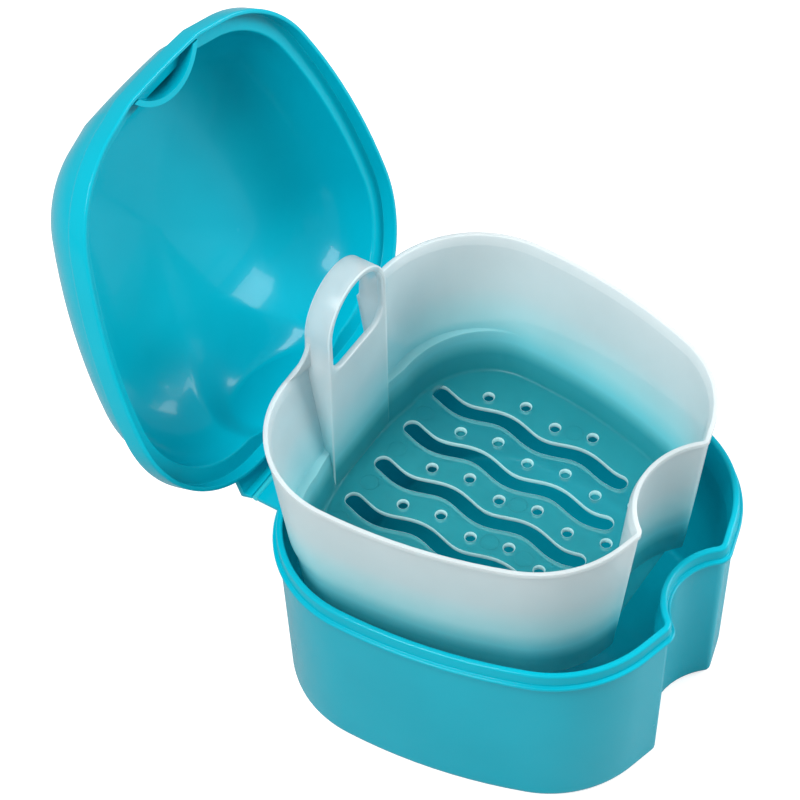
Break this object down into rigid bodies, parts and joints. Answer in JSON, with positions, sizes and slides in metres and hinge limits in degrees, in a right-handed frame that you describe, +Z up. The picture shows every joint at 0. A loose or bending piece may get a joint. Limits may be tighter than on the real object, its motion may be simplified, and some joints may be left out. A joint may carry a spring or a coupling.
{
  "type": "denture case",
  "caption": "Open denture bath case: tub with thumb notch, domed lid on a moulded hinge, and a raised strainer basket with handle.",
  "frame": {"origin": "centre of the tub's plan on its flat underside", "axes": "+Z up, the thumb notch faces -Y, the lid's hinge is at +Y, +X to the right seen from behind the notch"},
  "size_m": [0.0918, 0.1417, 0.1291],
  "materials": {
    "teal_shell": "glossy moulded polypropylene",
    "hinge_ridge": "thin flexed polypropylene, lighter",
    "frosted_basket": "translucent milky polypropylene"
  },
  "bodies": {
    "tub": {"base_tub": "teal_shell", "hinge_web": "hinge_ridge"},
    "lid": {"lid": "teal_shell"},
    "basket": {"strainer_basket": "frosted_basket"}
  },
  "joints": [
    {"name": "lid_swing", "type": "hinge", "parent": "tub", "child": "lid", "pos_m": [0, 0.0495, 0.0417], "axis": [-1, 0, 0], "range_deg": [-110.4, 65]},
    {"name": "basket_lift", "type": "slide", "parent": "tub", "child": "basket", "axis": [0, 0.1354, 0.9908], "range_m": [-0.0325, 0.0192]}
  ],
  "couplings": [
    {"joint": "basket_lift", "follows": "lid_swing", "m_per_rad": 0.016867}
  ]
}
